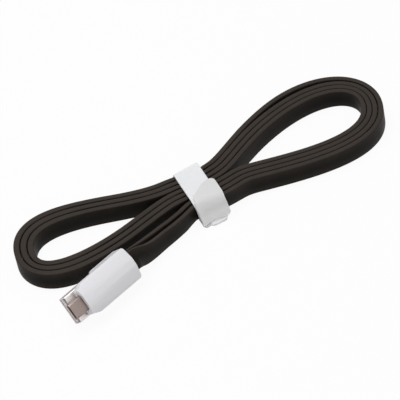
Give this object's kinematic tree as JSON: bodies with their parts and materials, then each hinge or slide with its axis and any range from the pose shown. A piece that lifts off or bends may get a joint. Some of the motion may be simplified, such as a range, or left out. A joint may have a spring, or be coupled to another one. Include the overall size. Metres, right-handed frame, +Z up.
{
  "type": "charging cable",
  "caption": "Flat USB-A to micro-USB charging cable, folded double, wound into a figure-of-eight hank and held by a hook-and-loop strap.",
  "frame": {"origin": "on the floor, under the middle of the strap, at the middle of the strands that it holds", "axes": "+X along the strands in the strap, away from the plugs; +Y across the strands; +Z up"},
  "size_m": [0.1776, 0.0761, 0.0159],
  "materials": {
    "cable_jacket": "satin",
    "strap_cloth": "matt woven",
    "closure_cloth": "matt pile",
    "housing_plastic": "smooth",
    "inner_mould_plastic": "plain",
    "gold_contact": "plated",
    "black_plastic": "plain",
    "white_plastic": "plain",
    "magnet_plate": "plated",
    "plug_steel": "plated",
    "red_wire": "plain",
    "white_wire": "plain",
    "green_wire": "plain",
    "dark_wire": "plain"
  },
  "bodies": {
    "wound_cable": {"cable_hank": "cable_jacket", "micro_lead": "cable_jacket", "usb_a_lead": "cable_jacket", "strap_band": "strap_cloth", "strap_loop_patch": "closure_cloth", "micro_housing_outer": "housing_plastic", "micro_housing_inner": "housing_plastic", "micro_inner_mould": "inner_mould_plastic", "micro_metal_shell": "plug_steel", "micro_insulator": "black_plastic", "micro_contact_1": "gold_contact", "micro_contact_2": "gold_contact", "micro_contact_3": "gold_contact", "micro_contact_4": "gold_contact", "micro_contact_5": "gold_contact", "micro_cable_crimp": "plug_steel", "micro_magnet": "magnet_plate", "micro_wire_power": "red_wire", "micro_wire_data_minus": "white_wire", "micro_wire_data_plus": "green_wire", "micro_wire_ground": "dark_wire", "usb_a_housing_outer": "housing_plastic", "usb_a_housing_inner": "housing_plastic", "usb_a_inner_mould": "inner_mould_plastic", "usb_a_metal_shell": "plug_steel", "usb_a_insulator": "white_plastic", "usb_a_contact_1": "gold_contact", "usb_a_contact_2": "gold_contact", "usb_a_contact_3": "gold_contact", "usb_a_contact_4": "gold_contact", "usb_a_cable_crimp": "plug_steel", "usb_a_magnet": "magnet_plate", "usb_a_wire_power": "red_wire", "usb_a_wire_data_minus": "white_wire", "usb_a_wire_data_plus": "green_wire", "usb_a_wire_ground": "dark_wire"},
    "strap_free_end": {"strap_tongue": "strap_cloth", "strap_hook_patch": "closure_cloth"},
    "micro_latch": {"micro_latch_spring": "plug_steel"}
  },
  "joints": [
    {"name": "strap_peel", "type": "hinge", "parent": "wound_cable", "child": "strap_free_end", "pos_m": [0, -0.01199, 0.00175], "axis": [1, 0, 0], "range_deg": [0, 90]},
    {"name": "latch_press", "type": "hinge", "parent": "wound_cable", "child": "micro_latch", "pos_m": [-0.06686, -0.03491, 0.01008], "axis": [-0.274, 0.6781, 0.682], "range_deg": [0, 1.7], "stiffness_Nm_per_rad": 0.002}
  ]
}
